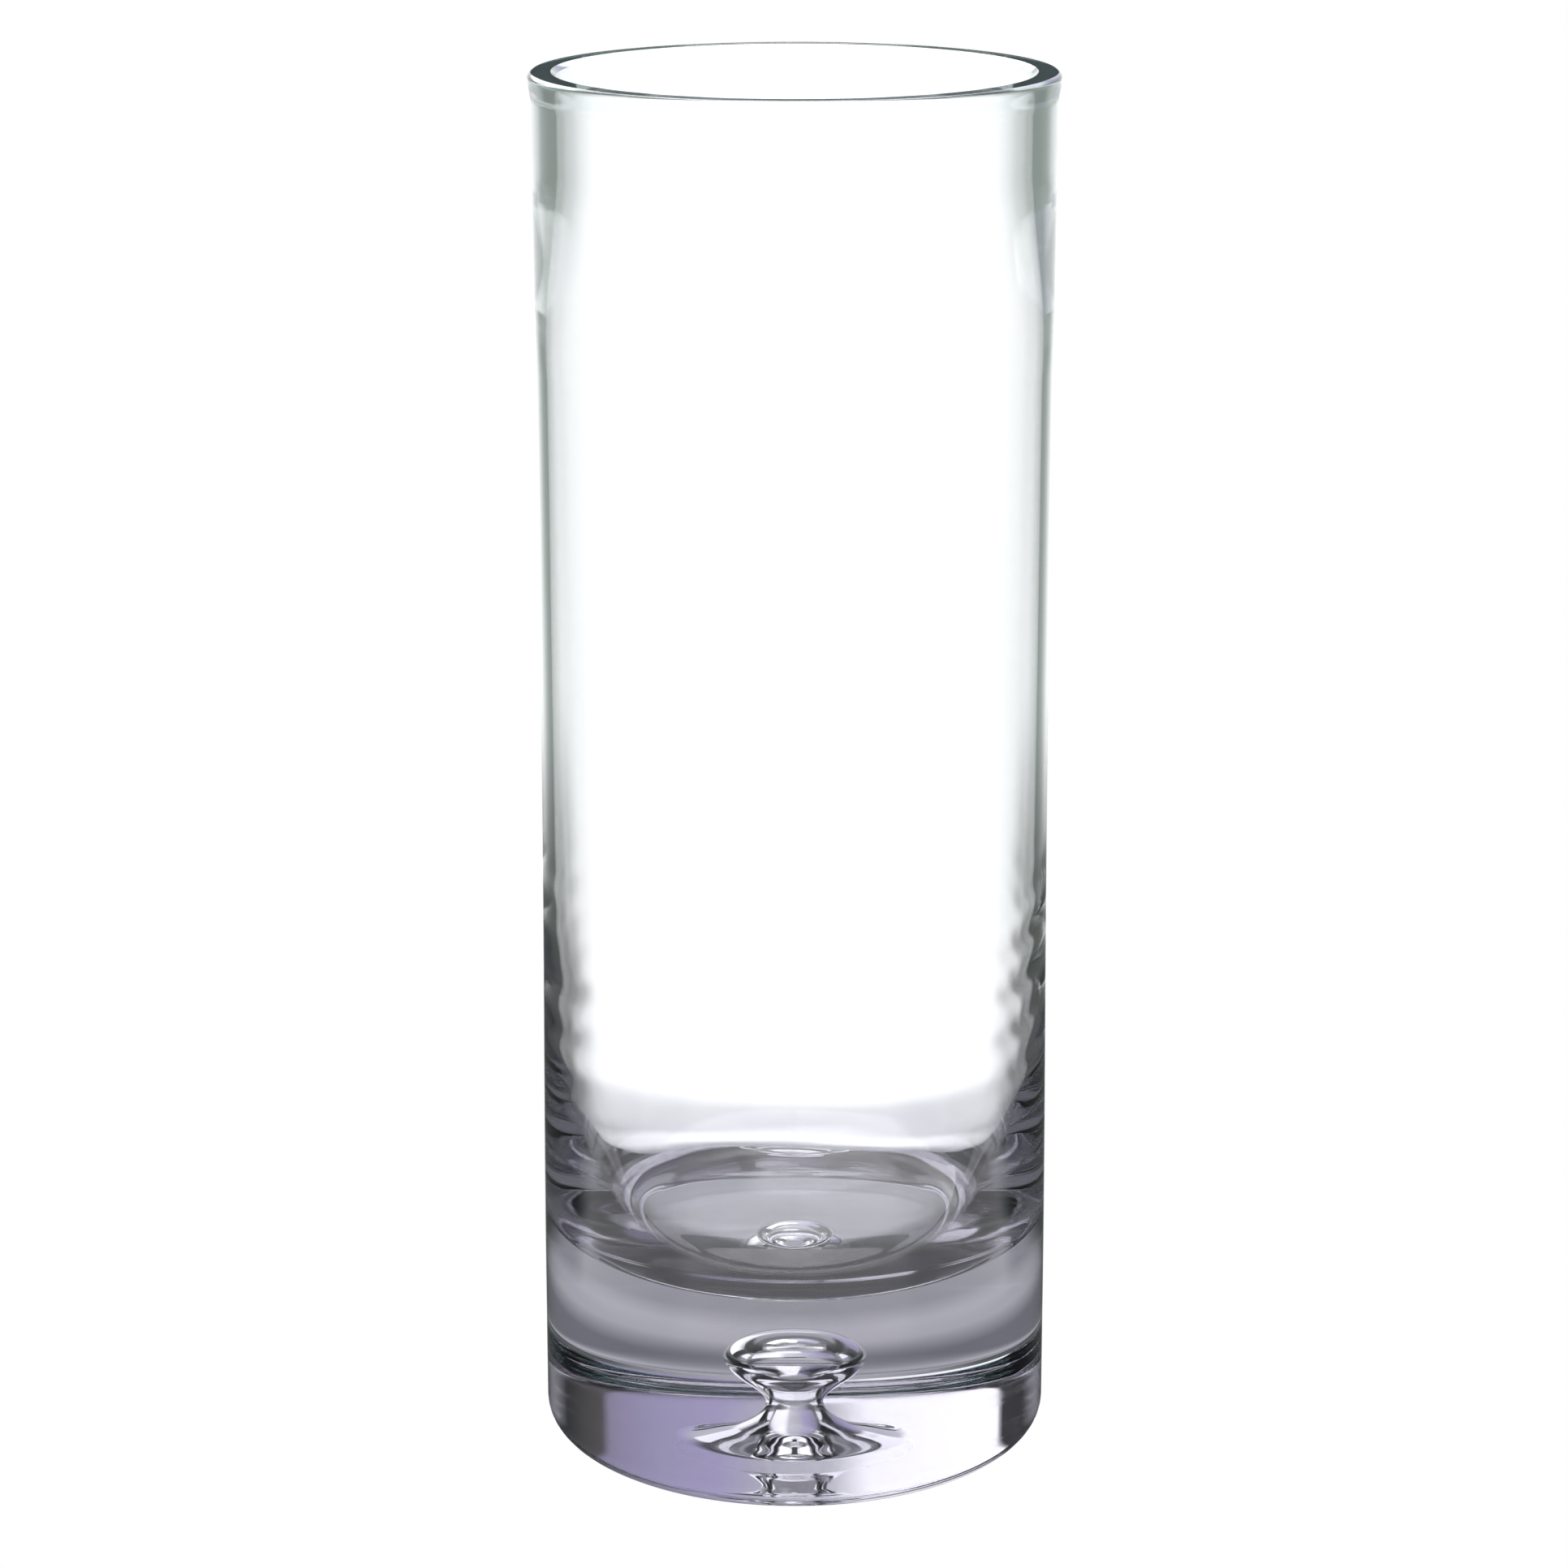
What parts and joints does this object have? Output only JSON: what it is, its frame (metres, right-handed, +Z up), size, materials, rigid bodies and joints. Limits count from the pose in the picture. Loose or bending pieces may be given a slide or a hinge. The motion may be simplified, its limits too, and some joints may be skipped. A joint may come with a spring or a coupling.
{
  "type": "glass cylinder vase",
  "caption": "Tall clear glass cylinder vase with a flat ground lip, a thick dished base and a mushroom-shaped air bubble sealed in the glass above the foot.",
  "frame": {"origin": "centre of the flat foot face, on the surface that the vase stands on", "axes": "+Z up along the vase's axis of revolution, from the foot to the mouth; X and Y are equal"},
  "size_m": [0.111, 0.111, 0.3],
  "materials": {
    "rim_glass": "polished",
    "wall_glass": "polished",
    "base_glass": "polished"
  },
  "bodies": {
    "root": {"rim": "rim_glass", "cylinder_wall": "wall_glass", "inner_floor": "base_glass", "solid_base": "base_glass", "foot_seal": "base_glass"}
  },
  "joints": []
}
